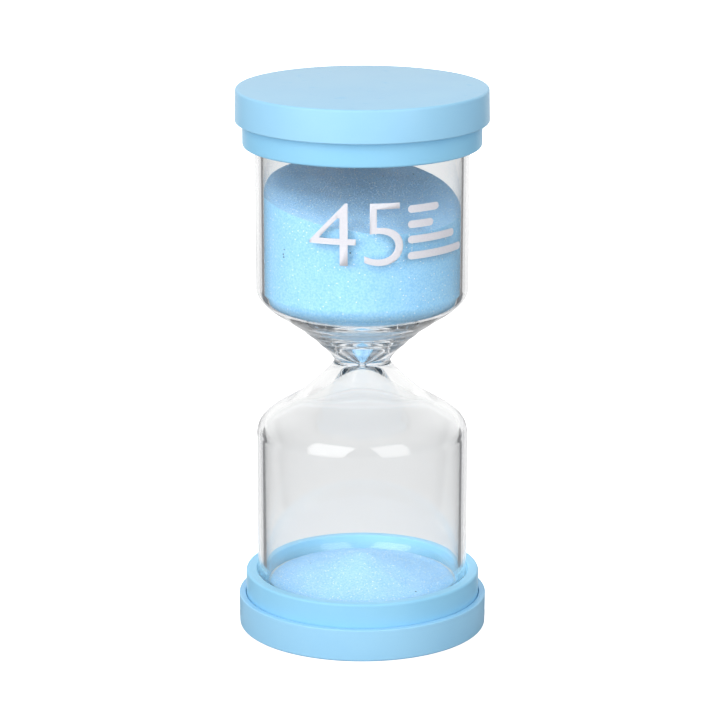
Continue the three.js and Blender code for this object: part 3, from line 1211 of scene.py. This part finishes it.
# %% Floor
FLOOR_HALF = 6.0
BRIGHT_HALF_ANGLE = math.radians(33.5)  # the bright part opens backwards from the timer, this far each way
SIDE_ANGLE = math.radians(58)  # the dark part ends here
FRONT_ANGLE = math.radians(125)  # and here the front of the floor begins, which is grey
SOFT_ANGLE = math.radians(4)
BRIGHT_TINTS = ((0.81, 0.81, 0.82, 1), (0.83, 0.83, 0.84, 1))
ASLANT_TINT = (0.20, 0.20, 0.21, 1)
SIDE_TINT = (0.46, 0.46, 0.47, 1)
FRONT_TINT = (0.42, 0.42, 0.43, 1)
WHITE = (1, 1, 1, 1)
GLOW_DISTANCE = (0.15, 0.45)
GLOW = (0.20, 0.44)


def angle_from_back(tree, parts):
    """How far round from straight behind the timer a place on the floor is, seen from the glass."""
    aside = sums(tree, "SUBTRACT", sums(tree, "ABSOLUTE", parts.outputs["X"]), GLASS_RADIUS)
    return sums(tree, "ARCTAN2", sums(tree, "MAXIMUM", aside, 0.0), parts.outputs["Y"])


def beyond(tree, angle, limit, soft):
    """0 where the angle is under the limit and 1 where it is over it."""
    return remap(tree, angle, (limit - soft / 2, limit + soft / 2), kind="SMOOTHSTEP")


def floor_material():
    material, tree, shader = new_material("pale_floor")
    shader.inputs["Roughness"].default_value = 0.8
    shader.inputs["Emission Color"].default_value = WHITE
    where = place(tree, "ShaderNodeTexCoord").outputs["Object"]
    parts = place(tree, "ShaderNodeSeparateXYZ", {"Vector": where})
    angle = angle_from_back(tree, parts)
    aslant = beyond(tree, angle, BRIGHT_HALF_ANGLE, SOFT_ANGLE)
    at_the_side = beyond(tree, angle, SIDE_ANGLE, SOFT_ANGLE * 3)
    in_front = beyond(tree, angle, FRONT_ANGLE, SOFT_ANGLE * 5)
    tints = {"Tint A": BRIGHT_TINTS[0], "Tint B": BRIGHT_TINTS[1]}
    paint = place(tree, "ShaderNodeGroup", tints, node_tree=MOTTLE).outputs["Color"]
    for zone, tint in ((aslant, ASLANT_TINT), (at_the_side, SIDE_TINT), (in_front, FRONT_TINT)):
        paint = between(tree, zone, paint, tint)
    tree.links.new(paint, shader.inputs["Base Color"])
    behind = sums(tree, "SUBTRACT", 1.0, aslant)
    glow = sums(tree, "MULTIPLY", behind, remap(tree, parts.outputs["Y"], GLOW_DISTANCE, GLOW))
    path = place(tree, "ShaderNodeLightPath")
    seen = sums(tree, "MULTIPLY_ADD", path.outputs["Is Camera Ray"], 1.0, glow)
    tree.links.new(seen, shader.inputs["Emission Strength"])
    return material


corners = [(x * FLOOR_HALF, y * FLOOR_HALF, 0) for x, y in ((-1, -1), (1, -1), (1, 1), (-1, 1))]
floor = mesh_object("floor", corners, [(0, 1, 2, 3)])
floor.data.materials.append(floor_material())

# %% Room
BACK_LIGHT = (0.13, 1.0)
OVERHEAD_LIGHT = (0.0, 0.3)


def make_room():
    """A world that is white behind the timer, grey in front and beside it, and a little lighter overhead."""
    world = bpy.data.worlds.new("room")
    bpy.context.scene.world = world
    world.use_nodes = True
    tree = world.node_tree
    tree.nodes.clear()
    way = place(tree, "ShaderNodeTexCoord").outputs["Generated"]
    parts = place(tree, "ShaderNodeSeparateXYZ", {"Vector": way})
    back = remap(tree, parts.outputs["Y"], (0.3, 0.8), BACK_LIGHT, kind="SMOOTHSTEP")
    over = remap(tree, parts.outputs["Z"], (0.4, 1.0), OVERHEAD_LIGHT, kind="SMOOTHSTEP")
    path = place(tree, "ShaderNodeLightPath")
    seen = sums(tree, "MAXIMUM", path.outputs["Is Camera Ray"], sums(tree, "ADD", back, over))
    light = place(tree, "ShaderNodeBackground", {"Color": WHITE, "Strength": seen})
    out = place(tree, "ShaderNodeOutputWorld")
    tree.links.new(light.outputs[0], out.inputs["Surface"])


make_room()


# %% Soft boxes
def soft_box(name, azimuth, elevation, width, height, power, distance=0.9):
    """An area light aimed at the timer. Azimuth 0 is the camera's side; a positive one is to the right."""
    data = bpy.data.lights.new(name, "AREA")
    data.shape = "RECTANGLE"
    data.size = width
    data.size_y = height
    data.energy = power
    light = bpy.data.objects.new(name, data)
    a, e = math.radians(azimuth), math.radians(elevation)
    way = Vector((math.sin(a) * math.cos(e), -math.cos(a) * math.cos(e), math.sin(e)))
    light.location = Vector((0, 0, MIDDLE)) + way * distance
    light.rotation_euler = way.to_track_quat("Z", "Y").to_euler()
    bpy.context.scene.collection.objects.link(light)


soft_box("left_box", azimuth=-40, elevation=26, width=0.72, height=1.0, power=6.7)
soft_box("right_box", azimuth=36, elevation=26, width=0.56, height=1.0, power=3.8)

# %% Paths of light
# The thick neck folds light many times, so a ray may bounce more often than Blender's own setting allows.
paths = bpy.context.scene.cycles
paths.max_bounces = 32
paths.glossy_bounces = 24
paths.transmission_bounces = 32
bpy.context.scene.view_settings.view_transform = "Standard"
print("bounces:", paths.max_bounces)

# %% [markdown]
# ## The end
#
# The view layer is brought up to date, so that every piece stands where it was put.

# %% Finish
bpy.context.view_layer.update()
